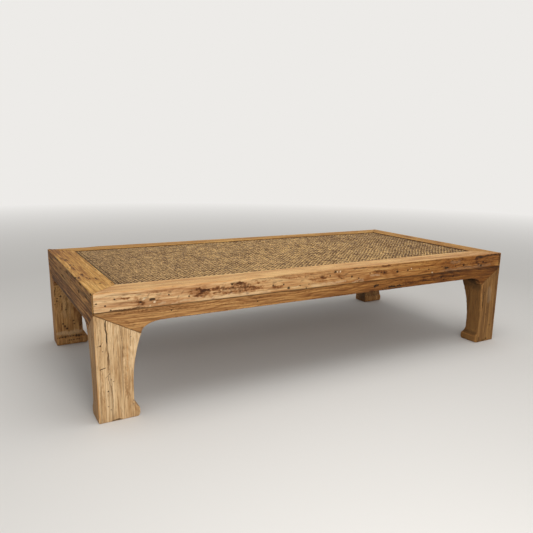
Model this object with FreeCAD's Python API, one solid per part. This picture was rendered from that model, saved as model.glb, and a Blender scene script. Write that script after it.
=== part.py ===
import FreeCAD, Part
import math
import os
from FreeCAD import Vector

# Low kang table of old elm with a woven cane top. Four mitred rails make the top frame, and four
# aprons stand flush under it between horse-hoof legs. Lengths are in millimetres. The origin lies on
# the floor under the middle of the top, X runs along the table, Y from front to back and Z up.

# Overall size
table_length = 1640.0
table_depth = 820.0
table_height = 377.0
# How far the four upright corners of the whole table are eased
corner_radius = 4.0

# Play between a tenon or tongue and its socket, on each face
joint_clearance = 0.15
# How far a cutting block runs past the wood that it cuts
overrun = 20.0

# Top frame: two long rails and two short rails, mitred at the corners
frame_thickness = 55.0
long_rail_width = 92.0
short_rail_width = 87.0
frame_edge_radius = 2.5

# Blind tenon on each end of a long rail, housed in the short rail
corner_tenon_thickness = 16.0
corner_tenon_width = 42.0
corner_tenon_rise = 18.0
corner_tenon_inset = 13.0
corner_tenon_cover = 12.0

# Peg that locks each corner tenon near its end, driven from below
corner_peg_radius = 3.5
corner_peg_length = 42.0
corner_peg_from_tenon_end = 11.0

# Floating panel of edge-jointed boards, tongued into the frame
panel_thickness = 16.0
panel_play = 1.0
panel_tongue_thickness = 7.0
panel_tongue_reach = 8.0
panel_tongue_rise = 5.5
panel_groove_spare = 0.8
board_count = 3
board_tongue_thickness = 5.0
board_tongue_reach = 6.0
board_tongue_spare = 0.5
board_tongue_rise = 8.0

# Mat of twill-woven split cane laid on the boards, sunk a little below the rails
mat_thickness = 3.0
mat_recess = 3.0
mat_edge_gap = 0.7

# Cross battens under the boards, held by tapered sliding dovetails
batten_count = 4
batten_width = 46.0
batten_height = 30.0
batten_dovetail_depth = 5.0
batten_dovetail_neck = 32.0
batten_dovetail_flare = 3.0
batten_dovetail_taper = 3.0
batten_tenon_width = 28.0
batten_tenon_thickness = 14.0
batten_tenon_length = 22.0
batten_tenon_rise = 8.0

# Aprons, flush with the frame and the legs
apron_thickness = 28.0
long_apron_height = 41.0
short_apron_height = 49.0
long_spandrel_length = 62.0
short_spandrel_length = 48.0
mitre_blunt = 4.0
mitre_drop = 73.0

# Loose tenons between the top edges of the aprons and the frame
loose_tenon_length = 30.0
loose_tenon_thickness = 9.0
loose_tenon_height = 24.0
long_apron_tenon_count = 3
short_apron_tenon_count = 2

# Dovetail keys on the legs, on which the aprons hang
key_depth = 8.0
key_root_width = 16.0
key_tip_width = 21.0
key_top_gap = 2.0
key_from_inner_face = 24.0

# Legs, seen from the front (width) and from the end (depth): at the mitre, the waist, the toe, the sole
left_leg_width = 130.0
left_leg_waist = 103.0
left_leg_toe = 119.0
left_leg_sole = 113.0
right_leg_width = 108.0
right_leg_waist = 98.0
right_leg_toe = 110.0
right_leg_sole = 105.0
leg_depth = 99.0
leg_depth_waist = 69.0
leg_depth_toe = 83.0
leg_depth_sole = 78.0
waist_height = 96.0
ankle_height = 58.0
lip_height = 26.0
toe_height = 12.0

# Tenons on top of each leg: a long one for the long rail and a short one for the short rail
leg_tenon_thickness = 12.0
leg_tenon_margin = 4.0
long_leg_tenon_height = 30.0
long_leg_tenon_width = 40.0
short_leg_tenon_height = 14.0
short_leg_tenon_width = 30.0

# Levels and half sizes that follow from the values above
half_length = table_length / 2
half_depth = table_depth / 2
frame_bottom = table_height - frame_thickness
mat_top = table_height - mat_recess
panel_top = mat_top - mat_thickness
panel_bottom = panel_top - panel_thickness
groove_bottom = panel_bottom + panel_tongue_rise - joint_clearance
groove_top = panel_bottom + panel_tongue_rise + panel_tongue_thickness + joint_clearance
groove_depth = panel_tongue_reach + panel_groove_spare
mitre_end_height = frame_bottom - mitre_drop
long_apron_bottom = frame_bottom - long_apron_height
short_apron_bottom = frame_bottom - short_apron_height
opening_length = table_length - 2 * short_rail_width
opening_depth = table_depth - 2 * long_rail_width
board_width = (opening_depth - 2 * panel_play) / board_count
corner_tenon_bottom = frame_bottom + corner_tenon_rise
left = -1
right = 1
front = -1
back = 1


def straight(a, b):
    return Part.LineSegment(Vector(*a, 0), Vector(*b, 0)).toShape()


def arc(start, end, rise):
    """A circular arc that rises off its chord, to the left of the way from start to end."""
    along_x = end[0] - start[0]
    along_y = end[1] - start[1]
    chord = math.hypot(along_x, along_y)
    middle_x = (start[0] + end[0]) / 2 - rise * along_y / chord
    middle_y = (start[1] + end[1]) / 2 + rise * along_x / chord
    return Part.Arc(Vector(*start, 0), Vector(middle_x, middle_y, 0), Vector(*end, 0)).toShape()


def arc_from_plumb(plumb_end, other_end):
    """How far an arc between the two points rises off its chord if it is upright at the first."""
    across = abs(other_end[0] - plumb_end[0])
    up = abs(other_end[1] - plumb_end[1])
    return math.hypot(across, up) / 2 * math.tan(math.atan2(across, up) / 2)


def quarter_ellipse(start, corner, end):
    """A quarter of an ellipse, tangent to both sides of the corner that it rounds."""
    curve = Part.BezierCurve()
    curve.setPoles([Vector(*start, 0), Vector(*corner, 0), Vector(*end, 0)])
    curve.setWeight(2, math.sqrt(0.5))
    return curve.toShape()


def outline(edges):
    return Part.Face(Part.Wire(edges))


def polygon(points):
    return outline([straight(a, b) for a, b in zip(points, points[1:] + points[:1])])


def block(low, high):
    """A box between two opposite corners."""
    size = [b - a for a, b in zip(low, high)]
    return Part.makeBox(*size, Vector(*low))


def upright(face, thickness):
    """Stands a face drawn in x and height on edge, outer side at y = 0, and thickens it along +Y."""
    solid = face.extrude(Vector(0, 0, -thickness))
    solid.rotate(Vector(0, 0, 0), Vector(1, 0, 0), 90)
    return solid


def swept_along_x(face, length):
    """Carries a section drawn in y and height along X, centred on the middle."""
    solid = face.extrude(Vector(0, 0, length))
    solid.rotate(Vector(0, 0, 0), Vector(1, 1, 1), 120)
    solid.translate(Vector(-length / 2, 0, 0))
    return solid


def mitred_plan(length, width, left_cut, right_cut, low, high):
    """A prism whose plan narrows from the full length at y = 0 to the mitres' inner ends at y = width."""
    plan = polygon([
        (-length / 2, 0), (length / 2, 0), (length / 2 - right_cut, width), (-length / 2 + left_cut, width),
    ])
    plan.translate(Vector(0, 0, low))
    return plan.extrude(Vector(0, 0, high - low))


def mirrored_in_x(shape):
    return shape.mirror(Vector(0, 0, 0), Vector(1, 0, 0))


def mirrored_in_y(shape):
    return shape.mirror(Vector(0, 0, 0), Vector(0, 1, 0))


def on_side(shape, side):
    """Takes a piece built along X with its outer side at y = 0 to the front or the back of the table."""
    placed = shape.copy()
    placed.translate(Vector(0, -half_depth, 0))
    return placed if side == front else mirrored_in_y(placed)


def on_end(shape, end):
    """Takes a piece built along X with its outer side at y = 0 to the left or right end of the table."""
    placed = shape.copy()
    placed.rotate(Vector(0, 0, 0), Vector(0, 0, 1), -90)
    placed.translate(Vector(-half_length, 0, 0))
    return placed if end == left else mirrored_in_x(placed)


def at_corner(shape, end, side):
    """Takes a shape drawn inwards from one outer corner to that corner of the table."""
    placed = shape.copy()
    placed.translate(Vector(-half_length, -half_depth, 0))
    if end == right:
        placed = mirrored_in_x(placed)
    return placed if side == front else mirrored_in_y(placed)


def rail_blank(length, width, other_width):
    """A rail with a rounded top arris, the panel groove along its inner edge and mitred ends."""
    arris_rise = frame_edge_radius * (1 - math.sqrt(0.5))
    section = outline([
        straight((0, frame_bottom), (0, table_height - frame_edge_radius)),
        arc((0, table_height - frame_edge_radius), (frame_edge_radius, table_height), arris_rise),
        straight((frame_edge_radius, table_height), (width, table_height)),
        straight((width, table_height), (width, groove_top)),
        straight((width, groove_top), (width - groove_depth, groove_top)),
        straight((width - groove_depth, groove_top), (width - groove_depth, groove_bottom)),
        straight((width - groove_depth, groove_bottom), (width, groove_bottom)),
        straight((width, groove_bottom), (width, frame_bottom)),
        straight((width, frame_bottom), (0, frame_bottom)),
    ])
    plan = mitred_plan(length, width, other_width, other_width, frame_bottom, table_height)
    return swept_along_x(section, length).common(plan)


def corner_tenon(play):
    """The tongue of a long rail's end, drawn from the outer corner. Play makes it the mortise for it."""
    inner = long_rail_width - corner_tenon_inset
    return block(
        (corner_tenon_cover - play, inner - corner_tenon_width - play, corner_tenon_bottom - play),
        (short_rail_width + play, inner + play, corner_tenon_bottom + corner_tenon_thickness + play),
    )


def corner_peg(play):
    """The peg in the middle of a corner tenon's width, drawn from the outer corner."""
    from_end = corner_tenon_cover + corner_peg_from_tenon_end
    from_side = long_rail_width - corner_tenon_inset - corner_tenon_width / 2
    return Part.makeCylinder(
        corner_peg_radius + play,
        corner_peg_length + play,
        Vector(from_end, from_side, frame_bottom),
    )


def leg_tenons(width, play):
    """The long and the short tenon on top of a leg, drawn from the outer corner."""
    inner_x = width - leg_tenon_margin
    inner_y = leg_depth - leg_tenon_margin
    outer = apron_thickness + leg_tenon_margin
    long_tenon = block(
        (inner_x - leg_tenon_thickness - play, outer - play, frame_bottom - play),
        (inner_x + play, outer + long_leg_tenon_width + play, frame_bottom + long_leg_tenon_height + play),
    )
    short_tenon = block(
        (outer - play, inner_y - leg_tenon_thickness - play, frame_bottom - play),
        (outer + short_leg_tenon_width + play, inner_y + play, frame_bottom + short_leg_tenon_height + play),
    )
    return [long_tenon, short_tenon]


def spread(count, span):
    """Middles of count equal bays that divide a span, from its middle."""
    return [(k + 0.5) * span / count - span / 2 for k in range(count)]


def loose_tenons(positions, play):
    """Loose tenons half in the apron and half in the rail above it, along a side built on X."""
    return [
        block(
            (
                x - loose_tenon_length / 2 - play,
                apron_thickness / 2 - loose_tenon_thickness / 2 - play,
                frame_bottom - loose_tenon_height / 2 - play,
            ),
            (
                x + loose_tenon_length / 2 + play,
                apron_thickness / 2 + loose_tenon_thickness / 2 + play,
                frame_bottom + loose_tenon_height / 2 + play,
            ),
        )
        for x in positions
    ]


def batten_tenons(x, play):
    """The two end tenons of a batten, in the long rails."""
    low = panel_bottom - batten_height + batten_tenon_rise
    reach = opening_depth / 2 + batten_tenon_length
    return block(
        (x - batten_tenon_width / 2 - play, -reach - play, low - play),
        (x + batten_tenon_width / 2 + play, reach + play, low + batten_tenon_thickness + play),
    )


def batten_dovetail(x, play):
    """The tapered dovetail along a batten's top, wider at the front, as a loft between its two ends."""
    ends = []
    for y, narrowing in ((-opening_depth / 2, 0), (opening_depth / 2, batten_dovetail_taper)):
        neck = batten_dovetail_neck / 2 - narrowing / 2 + play
        crown = neck + batten_dovetail_flare
        low = panel_bottom
        high = panel_bottom + batten_dovetail_depth + play
        corners = [(x - neck, low), (x + neck, low), (x + crown, high), (x - crown, high)]
        points = [Vector(px, y, pz) for px, pz in corners + corners[:1]]
        ends.append(Part.makePolygon(points))
    return Part.makeLoft(ends, True, True)


def batten(x):
    body = block(
        (x - batten_width / 2, -opening_depth / 2, panel_bottom - batten_height),
        (x + batten_width / 2, opening_depth / 2, panel_bottom),
    )
    return body.fuse([batten_tenons(x, 0), batten_dovetail(x, 0)]).removeSplitter()


def panel_board(index):
    """One board of the panel: tongues all round the panel, and a tongue and groove between boards."""
    low_y = -opening_depth / 2 + panel_play + index * board_width
    high_y = low_y + board_width
    half_x = opening_length / 2
    first = index == 0
    last = index == board_count - 1
    reach = panel_tongue_reach
    board = block((-half_x + panel_play, low_y, panel_bottom), (half_x - panel_play, high_y, panel_top))
    rim_low = panel_bottom + panel_tongue_rise
    rim_front = -opening_depth / 2 - reach if first else low_y
    rim_back = opening_depth / 2 + reach if last else high_y
    board = board.fuse(block(
        (-half_x - reach, rim_front, rim_low),
        (half_x + reach, rim_back, rim_low + panel_tongue_thickness),
    ))
    edge_low = panel_bottom + board_tongue_rise
    edge_high = edge_low + board_tongue_thickness
    if not last:
        board = board.fuse(block(
            (-half_x + panel_play, high_y, edge_low),
            (half_x - panel_play, high_y + board_tongue_reach, edge_high),
        ))
    if not first:
        board = board.cut(block(
            (-half_x - reach, low_y, edge_low - joint_clearance),
            (half_x + reach, low_y + board_tongue_reach + board_tongue_spare, edge_high + joint_clearance),
        ))
    board = board.cut([batten_dovetail(x, joint_clearance) for x in batten_places])
    return board.removeSplitter()


def apron_face(length, bottom, left_width, right_width, spandrel_length):
    """An apron from the front: level top edge, mitred ends, and a quarter round into each leg."""
    left_x = -length / 2 + left_width
    right_x = length / 2 - right_width
    blunt = frame_bottom - mitre_blunt
    left_start = left_x + spandrel_length
    right_start = right_x - spandrel_length
    return outline([
        straight((-length / 2, frame_bottom), (length / 2, frame_bottom)),
        straight((length / 2, frame_bottom), (length / 2, blunt)),
        straight((length / 2, blunt), (right_x, mitre_end_height)),
        quarter_ellipse((right_x, mitre_end_height), (right_x, bottom), (right_start, bottom)),
        straight((right_start, bottom), (left_start, bottom)),
        quarter_ellipse((left_start, bottom), (left_x, bottom), (left_x, mitre_end_height)),
        straight((left_x, mitre_end_height), (-length / 2, blunt)),
        straight((-length / 2, blunt), (-length / 2, frame_bottom)),
    ])


def hanging_key(width, play):
    """A leg's dovetail key behind the apron built on X, drawn from the outer corner."""
    middle = width - key_from_inner_face
    root = key_root_width / 2 + play
    tip = key_tip_width / 2 + play
    outer = apron_thickness - key_depth - play
    face = polygon([
        (middle - root, apron_thickness), (middle + root, apron_thickness),
        (middle + tip, outer), (middle - tip, outer),
    ])
    low = mitre_end_height - overrun
    face.translate(Vector(0, 0, low))
    high = frame_bottom - key_top_gap + (key_top_gap if play else 0)
    return face.extrude(Vector(0, 0, high - low))


def leg_face(top, waist, toe, sole):
    """A leg from one side: straight outside, hollowed inside, with the lipped toe of a horse's hoof."""
    at_sole = (sole, 0)
    at_toe = (toe, toe_height)
    at_lip = (toe, lip_height)
    at_ankle = (waist, ankle_height)
    at_waist = (waist, waist_height)
    at_mitre = (top, mitre_end_height)
    return outline([
        straight((0, 0), at_sole),
        arc(at_sole, at_toe, -arc_from_plumb(at_toe, at_sole)),
        straight(at_toe, at_lip),
        arc(at_lip, at_ankle, arc_from_plumb(at_ankle, at_lip)),
        straight(at_ankle, at_waist),
        arc(at_waist, at_mitre, arc_from_plumb(at_waist, at_mitre)),
        straight(at_mitre, (top, frame_bottom)),
        straight((top, frame_bottom), (0, frame_bottom)),
        straight((0, frame_bottom), (0, 0)),
    ])


def turned_to_y(shape):
    """Swaps X and Y of a shape drawn from an outer corner."""
    turned = shape.copy()
    turned.rotate(Vector(0, 0, 0), Vector(1, 1, 0), 180)
    return turned.mirror(Vector(0, 0, 0), Vector(0, 0, 1))


def apron_ghost(width, bottom, spandrel_length):
    """An apron's end before its corner is cut, drawn from the outer corner, to shape the leg behind it."""
    face = apron_face(table_length, bottom, width, width, spandrel_length)
    ghost = upright(face, apron_thickness)
    ghost.translate(Vector(half_length, 0, 0))
    return ghost


def leg(widths):
    """A leg drawn from its outer corner: both hollowed sides, mitred shoulders, keys and top tenons."""
    from_front = upright(leg_face(*widths), leg_depth)
    end_face = leg_face(leg_depth, leg_depth_waist, leg_depth_toe, leg_depth_sole)
    from_end = turned_to_y(upright(end_face, widths[0]))
    blank = from_front.common(from_end)
    front_ghost = apron_ghost(widths[0], long_apron_bottom, long_spandrel_length)
    end_ghost = turned_to_y(apron_ghost(leg_depth, short_apron_bottom, short_spandrel_length))
    shouldered = blank.cut([front_ghost, end_ghost])
    front_key = hanging_key(widths[0], 0).common(front_ghost)
    end_key = turned_to_y(hanging_key(leg_depth, 0)).common(end_ghost)
    return shouldered.fuse([front_key, end_key, *leg_tenons(widths[0], 0)]).removeSplitter()


def long_rail():
    """The front rail: a tenon at each end, and sockets for battens, legs and loose tenons."""
    blank = on_side(rail_blank(table_length, long_rail_width, short_rail_width), front)
    tenons = [at_corner(corner_tenon(0), end, front) for end in (left, right)]
    sockets = [batten_tenons(x, joint_clearance) for x in batten_places]
    for end, width in ((left, left_leg_width), (right, right_leg_width)):
        sockets.append(at_corner(leg_tenons(width, joint_clearance)[0], end, front))
        sockets.append(at_corner(corner_peg(joint_clearance), end, front))
    sockets += [on_side(shape, front) for shape in loose_tenons(long_tenon_places, joint_clearance)]
    return blank.fuse(tenons).cut(sockets).removeSplitter()


def short_rail(end, leg_width):
    """A short rail: a mortise at each end, and sockets for legs, pegs and loose tenons."""
    blank = on_end(rail_blank(table_depth, short_rail_width, long_rail_width), end)
    sockets = []
    for side in (front, back):
        sockets.append(at_corner(corner_tenon(joint_clearance), end, side))
        sockets.append(at_corner(corner_peg(joint_clearance), end, side))
        sockets.append(at_corner(leg_tenons(leg_width, joint_clearance)[1], end, side))
    sockets += [on_end(shape, end) for shape in loose_tenons(short_tenon_places, joint_clearance)]
    return blank.cut(sockets).removeSplitter()


def long_apron():
    """The front apron, between a wider left leg and a narrower right leg."""
    face = apron_face(table_length, long_apron_bottom, left_leg_width, right_leg_width, long_spandrel_length)
    plan = mitred_plan(table_length, apron_thickness, apron_thickness, apron_thickness,
                       mitre_end_height, frame_bottom)
    apron = upright(face, apron_thickness).common(plan)
    sockets = loose_tenons(long_tenon_places, joint_clearance)
    apron = on_side(apron.cut(sockets), front)
    keys = [
        at_corner(hanging_key(left_leg_width, joint_clearance), left, front),
        at_corner(hanging_key(right_leg_width, joint_clearance), right, front),
    ]
    return apron.cut(keys).removeSplitter()


def short_apron(end):
    face = apron_face(table_depth, short_apron_bottom, leg_depth, leg_depth, short_spandrel_length)
    plan = mitred_plan(table_depth, apron_thickness, apron_thickness, apron_thickness,
                       mitre_end_height, frame_bottom)
    apron = upright(face, apron_thickness).common(plan)
    sockets = loose_tenons(short_tenon_places, joint_clearance)
    apron = on_end(apron.cut(sockets), end)
    key = turned_to_y(hanging_key(leg_depth, joint_clearance))
    keys = [at_corner(key, end, side) for side in (front, back)]
    return apron.cut(keys).removeSplitter()


def woven_mat():
    half_x = opening_length / 2 - mat_edge_gap
    half_y = opening_depth / 2 - mat_edge_gap
    return block((-half_x, -half_y, panel_top), (half_x, half_y, mat_top))


batten_places = spread(batten_count, opening_length)
long_tenon_places = spread(long_apron_tenon_count, opening_length)
short_tenon_places = spread(short_apron_tenon_count, opening_depth)
leg_widths = {
    left: (left_leg_width, left_leg_waist, left_leg_toe, left_leg_sole),
    right: (right_leg_width, right_leg_waist, right_leg_toe, right_leg_sole),
}

front_rail = long_rail()
front_apron = long_apron()
nodes = {
    "long_rail_front": front_rail,
    "long_rail_back": mirrored_in_y(front_rail),
    "short_rail_left": short_rail(left, left_leg_width),
    "short_rail_right": short_rail(right, right_leg_width),
    "apron_front": front_apron,
    "apron_back": mirrored_in_y(front_apron),
    "apron_left": short_apron(left),
    "apron_right": short_apron(right),
    "woven_mat": woven_mat(),
}
for end, end_name in ((left, "left"), (right, "right")):
    one_leg = leg(leg_widths[end])
    for side, side_name in ((front, "front"), (back, "back")):
        nodes[f"leg_{side_name}_{end_name}"] = at_corner(one_leg, end, side)
for index in range(board_count):
    nodes[f"panel_board_{index + 1}"] = panel_board(index)
for index, place in enumerate(batten_places):
    nodes[f"batten_{index + 1}"] = batten(place)

eased_outline = block((-half_length, -half_depth, 0), (half_length, half_depth, table_height))
upright_corners = [edge for edge in eased_outline.Edges if edge.BoundBox.ZLength > table_height / 2]
eased_outline = eased_outline.makeFillet(corner_radius, upright_corners)
for name in nodes:
    if name.startswith(("long_rail", "short_rail", "apron", "leg")):
        nodes[name] = nodes[name].common(eased_outline)

pegs = [at_corner(corner_peg(0), end, side) for end in (left, right) for side in (front, back)]
nodes["corner_pegs"] = Part.makeCompound(pegs)
dowels = []
for side in (front, back):
    dowels += [on_side(shape, side) for shape in loose_tenons(long_tenon_places, 0)]
for end in (left, right):
    dowels += [on_end(shape, end) for shape in loose_tenons(short_tenon_places, 0)]
nodes["apron_loose_tenons"] = Part.makeCompound(dowels)

os.makedirs("parts", exist_ok=True)
for name, shape in nodes.items():
    shape.exportStep(f"parts/{name}.step")
    print(name, "valid" if shape.isValid() else "NOT VALID", len(shape.Solids), round(shape.Volume))
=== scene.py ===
import bmesh
import bpy
import math
import numpy as np
from mathutils import Euler, Matrix, Vector


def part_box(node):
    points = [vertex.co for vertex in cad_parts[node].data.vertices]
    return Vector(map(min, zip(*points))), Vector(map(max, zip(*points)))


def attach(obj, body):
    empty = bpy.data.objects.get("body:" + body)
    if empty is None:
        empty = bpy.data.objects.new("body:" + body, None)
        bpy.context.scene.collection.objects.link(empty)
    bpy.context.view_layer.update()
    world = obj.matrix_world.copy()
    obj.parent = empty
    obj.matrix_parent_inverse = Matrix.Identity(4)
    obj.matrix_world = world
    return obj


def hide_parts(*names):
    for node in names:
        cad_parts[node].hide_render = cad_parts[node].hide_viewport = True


# Dressed model of a low kang table of old elm with a woven cane top. Everything is in metres, in the
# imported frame: the origin on the floor under the middle, X along the table, Y to the back, Z up.

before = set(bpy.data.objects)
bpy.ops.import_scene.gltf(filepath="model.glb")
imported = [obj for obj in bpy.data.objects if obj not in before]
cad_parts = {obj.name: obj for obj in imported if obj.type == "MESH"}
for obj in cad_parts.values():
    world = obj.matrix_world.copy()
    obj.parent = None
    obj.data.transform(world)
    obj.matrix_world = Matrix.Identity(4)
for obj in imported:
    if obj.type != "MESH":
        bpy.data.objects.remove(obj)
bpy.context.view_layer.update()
MM = 0.001

# Camera, solved from the corners of the table in the photograph
CAMERA_PLACE = (-1.0996, -1.8885, 0.7405)
CAMERA_AZIMUTH = 30.764
CAMERA_DIP = 12.556
CAMERA_ROLL = 1.21
FOCAL_PIXELS = 548.88
OPTICAL_AXIS_PIXEL = (285.8, 280.6)
PICTURE_PIXELS = 533

# Sizes of the frame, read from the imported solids
TABLE_LOW, TABLE_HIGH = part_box("long_rail_front")[0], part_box("long_rail_front")[1]
HALF_LENGTH = TABLE_HIGH.x
HALF_DEPTH = -TABLE_LOW.y
FRAME_BOTTOM = TABLE_LOW.z
LONG_RAIL_WIDTH = TABLE_HIGH.y - TABLE_LOW.y
SHORT_RAIL_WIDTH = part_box("short_rail_left")[1].x + HALF_LENGTH
APRON_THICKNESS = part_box("apron_front")[1].y + HALF_DEPTH
MITRE_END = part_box("apron_front")[0].z
LEFT_LEG_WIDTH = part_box("leg_front_left")[1].x + HALF_LENGTH
RIGHT_LEG_WIDTH = HALF_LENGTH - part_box("leg_front_right")[0].x
LEG_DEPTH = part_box("leg_front_left")[1].y + HALF_DEPTH
MITRE_BLUNT = 4 * MM
MAT_LOW, MAT_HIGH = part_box("woven_mat")

# Size of the even squares that the skins of the wood are divided into
RAIL_GRAIN = 2.6 * MM
APRON_GRAIN = 2.3 * MM
LEG_GRAIN = 2.1 * MM

# The members of the table, with their slot and the size of their squares
MEMBERS = {"rail": ("frame_wood", RAIL_GRAIN), "apron": ("apron_wood", APRON_GRAIN),
           "leg": ("leg_wood", LEG_GRAIN)}

# Wear of the wood: cells of its noises, how deep the slow and the fine one cut in mm, how often the
# arrises are rounded off, and how many worm holes chance adds to each piece
PATCH_CELLS = (60 * MM, 60 * MM, 40 * MM)
SLOW_CELLS = (90 * MM, 90 * MM, 60 * MM)
FINE_CELL = 9 * MM
SLOW_CUT, FINE_CUT = 0.9, 0.25
ARRIS_ROUNDS = 5
WORM_HOLES = 14

# Where the skin is made finer: this near its face, and this far round a flaw that is cut in
FACE_REACH = 8 * MM
FLAW_REACH = 1.5 * MM

# Pieces that stand further than this from the middle have inner faces, which are darker: painted shade over
# their darker bare wood
OFF_CENTRE = 0.1

# Strands of the mat, measured from the slant ribs, which repeat every four strands (16.6 mm)
STRAND_PITCH = 4.15 * MM
STRAND_WIDTH = 3.2 * MM
STRAND_CROWN = 0.5 * MM
STRAND_DIVE = 1.7 * MM
EDGE_GAP = 2.0 * MM
BAND_STRANDS = 3
BAND_GAP = 2.4 * MM
SLOW_SHOVE = 12 * MM
QUICK_SHOVE = 1.7 * MM
MAT_SWELL = 1.9 * MM

# Light and shade of the mat: places along X with how faded, how mottled and how ribbed it is there, and
# how much lighter the strands of either way are, a painted sheen that draws the ribs
FADED_AT = (MAT_LOW.x, -0.6, 0.05, 0.55, MAT_HIGH.x)
FADED = (-0.06, 0.04, 0.16, -0.04, -0.06)
MAT_STEPS = (MAT_LOW.x, 0, MAT_HIGH.x)
MOTTLED = (0.8, 1.7, 0.8)
RIBBED = (1.4, 1.2, 0.6)
ACROSS_SHEEN, ALONG_SHEEN = 0.30, -0.10

# Studio
STUDIO_LIGHT = 0.5
FLOOR_RADIUS = 30.0
FLOOR_CORNERS = 96

# Colours, as they look in the photograph
# (each wood's palette runs from its lightest streaks to its darkest)
FRAME_PALETTE = ("#E0BC8C", "#C39567", "#956238", "#522F14")
TOP_PALETTE = ("#DDB67C", "#C09455", "#966733", "#573418")
APRON_PALETTE = ("#CB9C62", "#A97A48", "#7C4E28", "#42270F")
LEG_PALETTE = ("#E2C296", "#C29C6E", "#976D42", "#583B20")
# The right front leg's palette is darker: its own browner wood, with painted shade where the light falls off
RIGHT_LEG_DARK_AND_SHADED_PALETTE = ("#A87E4C", "#8B653B", "#6C4826", "#3A2412")
SOFTWOOD_PALETTE = ("#A3825A", "#8A6A47", "#6B4E33", "#47321F")
PALETTE_PLACES = (0.0, 0.32, 0.68, 1.0)
# Ramp for faces turned to the left: painted shade, with some greying by age
WEATHERED_AND_SHADED = ((0.12, "#2A190E"), (0.42, "#6E4726"), (0.62, "#93663C"), (0.84, "#BB8B52"))
HONEY_WAX = (0.93, 0.80, 0.45, 1.0)
RED_BROWN = "#542C14"
ARRIS_ORANGE = "#CF9150"
# The pale colour also paints highlights and sheen, and the near black one painted shadows
PALE_FIBRE_AND_SHEEN = "#E4CCA6"
CREVICE_AND_SHADOW = "#1C120B"
CANE_LIGHT = "#FFD08A"
CANE_DARK = "#664220"
# Dirt and painted shade where cane strands dive under and along the mat's edges
CANE_DIRT_AND_SHADE = "#1A110A"
FLOOR_PALE = "#DAD7D2"
BACKDROP_PALE = "#EDEBE8"

# Patterns of the wood: size of the cells along and across the grain in mm, layers, their roughness
# and the distortion
WOOD_PATTERNS = {
    "fibre": (70, 2.2, 3, 0.6, 0.0), "streak": (160, 7, 3, 0.62, 0.0), "band": (420, 26, 2, 0.5, 0.0),
    "cloud": (190, 60, 3, 0.6, 0.3), "ragged": (16, 6, 4, 0.72, 0.8), "swirl": (22, 11, 4, 0.65, 2.2),
    "pore": (22, 1.6, 2, 0.6, 0.0), "vein": (240, 3.0, 2, 0.55, 0.15), "wander": (380, 75, 2, 0.5, 0.0),
}

# What is painted on the skin of each piece, one number per point
SKIN_LAYERS = ("tone", "honey", "burl", "grey", "worn", "pale", "dark")

# Kinds of flaw: how far its path strays, how ragged its rim is, from where to where the rim fades
# (in widths), and the layer that it paints, with its strength
# Some dark kinds also lay painted shadows, and some pale ones a painted highlight and sheen
FLAW_KINDS = {
    "crack_and_shade": (1.0, 0.9, 0.35, 1.0, "dark", 1.0), "hole": (0.4, 0.7, 0.45, 1.0, "dark", 1.0),
    "shade_and_grime": (0.8, 0.9, 0.2, 1.2, "dark", 0.85), "tint": (2.5, 1.3, 0.0, 1.6, "burl", 0.42),
    # faded paints pale patches, and on the right front leg a painted sheen
    "faded": (2.5, 1.3, 0.0, 1.5, "pale", 0.12),
    "gap": (1.0, 1.3, 0.35, 1.0, "dark", 1.0), "check": (1.0, 1.3, 0.1, 1.2, "dark", 0.5),
    "stain_and_shade": (2.5, 1.3, 0.0, 1.6, "dark", 0.5), "burl": (2.5, 1.3, 0.0, 1.6, "burl", 0.95),
    "haze": (2.5, 1.3, 0.0, 1.5, "burl", 0.7), "sap_and_highlight": (2.5, 1.3, 0.3, 1.2, "pale", 0.27),
    "torn": (1.3, 1.6, 0.3, 1.0, "pale", 0.8), "rub": (1.0, 1.3, 0.0, 1.3, "worn", 0.75),
    "sunk": (1.0, 0.3, 0.0, 1.0, "worn", 0.0),
}


def add_object(name, data):
    made = bpy.data.objects.new(name, data)
    bpy.context.scene.collection.objects.link(made)
    return made


def linear(hex_colour):
    """An sRGB hex colour as linear red, green, blue and alpha."""
    parts = [int(hex_colour[k:k + 2], 16) / 255 for k in (1, 3, 5)]
    return (*[c / 12.92 if c <= 0.04045 else ((c + 0.055) / 1.055) ** 2.4 for c in parts], 1.0)


def node(tree, kind, inputs=None, stops=None, out=0, **settings):
    """Adds a shader node, sets its settings, colour stops and inputs, links sockets, and gives an output."""
    made = tree.nodes.new("ShaderNode" + kind)
    for key, value in settings.items():
        setattr(made, key, value)
    if stops:
        ramp = made.color_ramp
        while len(ramp.elements) < len(stops):
            ramp.elements.new(0.5)
        for element, (place, colour) in zip(ramp.elements, stops):
            element.position = place
            element.color = colour if len(colour) == 4 else (*colour * 3, 1.0)
    for key, value in (inputs or {}).items():
        socket = made.inputs[key]
        if isinstance(value, bpy.types.NodeSocket):
            tree.links.new(value, socket)
        else:
            socket.default_value = value
    return made.outputs[out] if made.outputs else None


def new_material(name):
    material = bpy.data.materials.new(name)
    material.use_nodes = True
    tree = material.node_tree
    tree.nodes.clear()
    return material, tree


def finish_material(tree, colour, roughness, height, bump_distance, specular):
    """Ends a material in one Principled surface, whose bump lies within the given distance."""
    bump = node(tree, "Bump", {"Height": height, "Strength": 1.0, "Distance": bump_distance})
    surface = node(tree, "BsdfPrincipled", {"Base Color": colour, "Roughness": roughness, "Normal": bump,
                                            "IOR": 1.5, "Specular IOR Level": specular})
    node(tree, "OutputMaterial", {"Surface": surface})


GRAIN_TURN = {"x": (0, 0, 0), "y": (0, 0, -math.pi / 2), "z": (0, math.pi / 2, 0)}


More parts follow.
